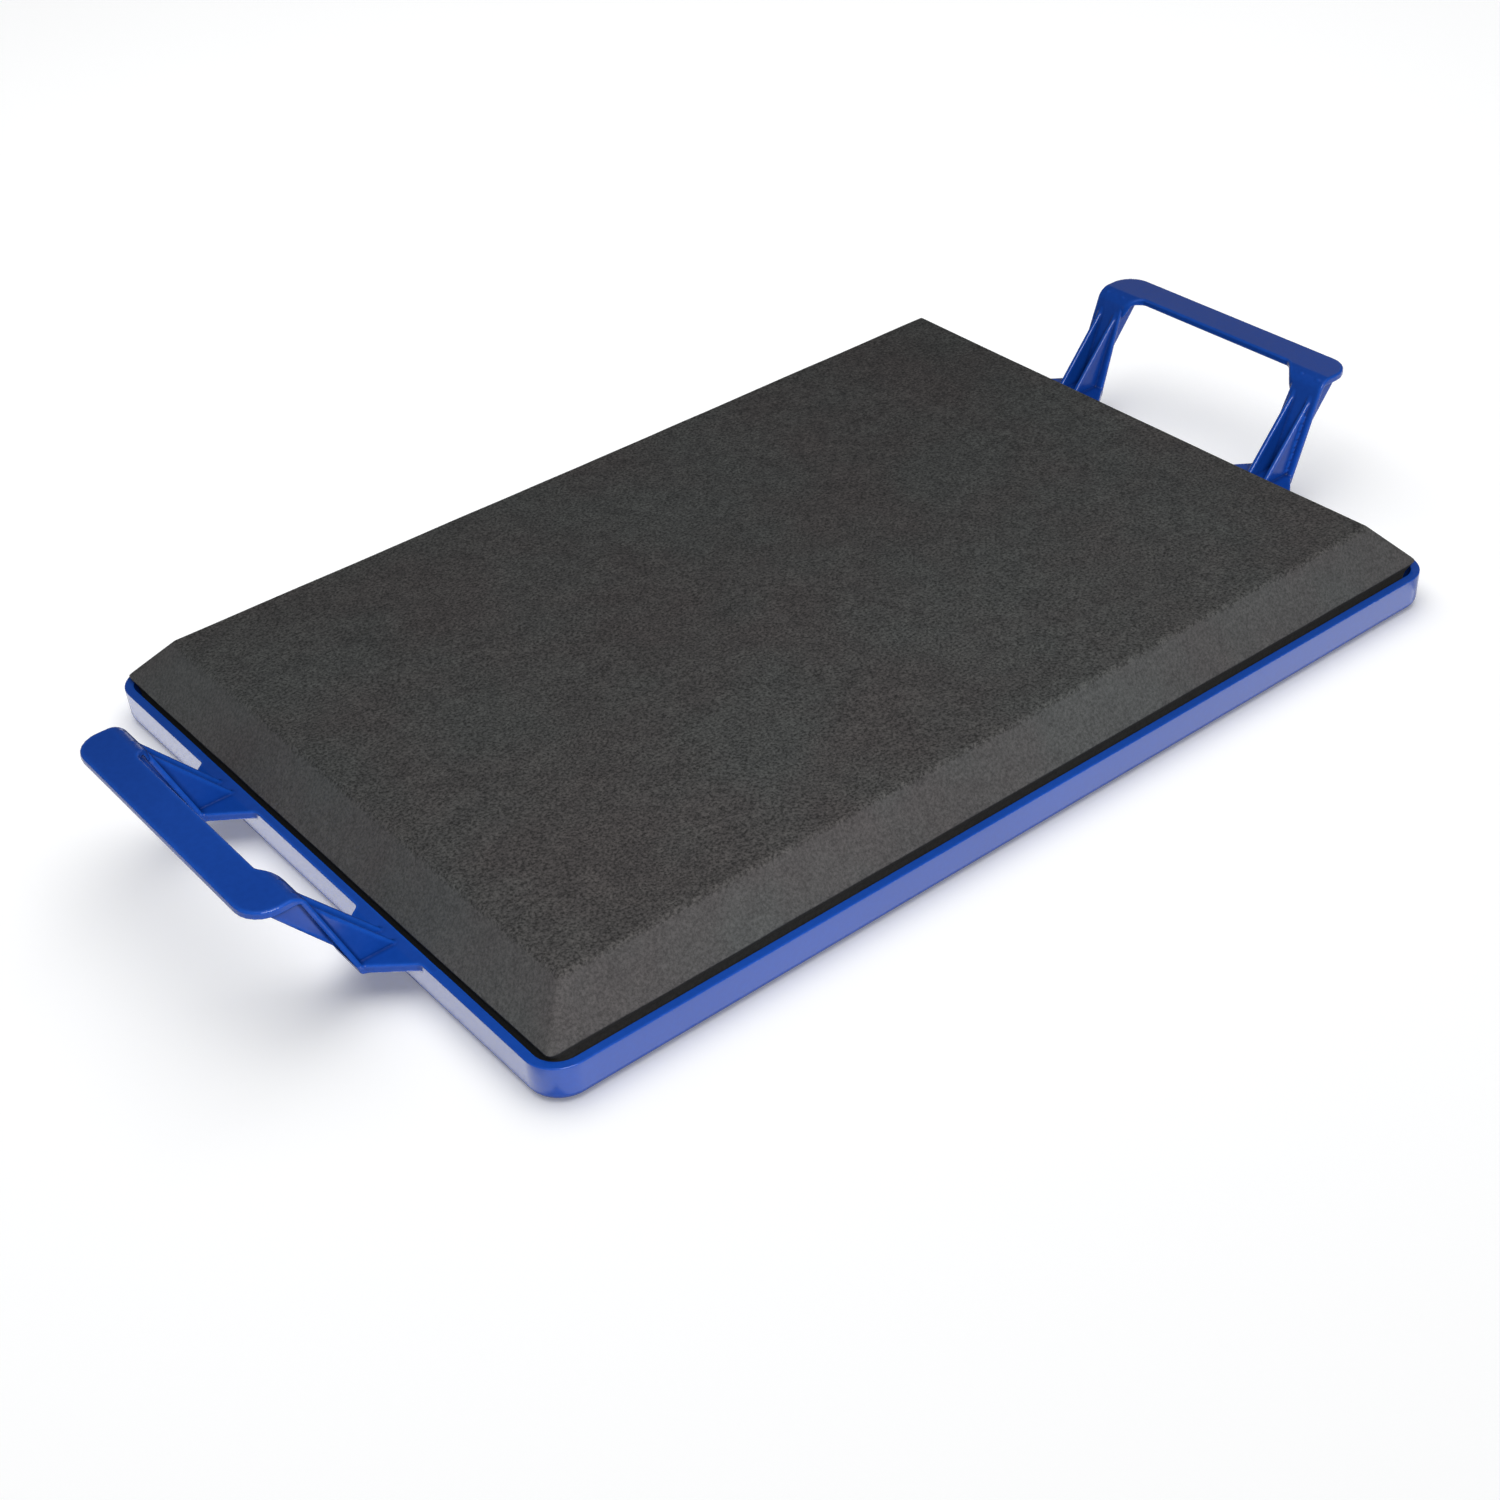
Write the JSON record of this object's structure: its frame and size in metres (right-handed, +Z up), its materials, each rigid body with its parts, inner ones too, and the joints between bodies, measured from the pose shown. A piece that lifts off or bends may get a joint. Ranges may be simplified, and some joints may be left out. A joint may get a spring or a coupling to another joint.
{
  "type": "kneeling board",
  "caption": "Kneeling board: a thick foam pad with bevelled edges, set in a shallow plastic tray with a raised bridge handle at each end.",
  "frame": {"origin": "middle of the tray's underside, on the floor", "axes": "+X along the board from one handle to the other, +Y across it, +Z up"},
  "size_m": [0.6384, 0.363, 0.0658],
  "materials": {
    "moulding": "semi-gloss blue polypropylene, faintly rippled",
    "adhesive": "thin set contact adhesive",
    "foam": "matt charcoal closed-cell foam, finely pored"
  },
  "bodies": {
    "root": {"tray": "moulding", "handle_right": "moulding", "handle_left": "moulding", "glue_layer": "adhesive", "foam_pad": "foam"}
  },
  "joints": []
}
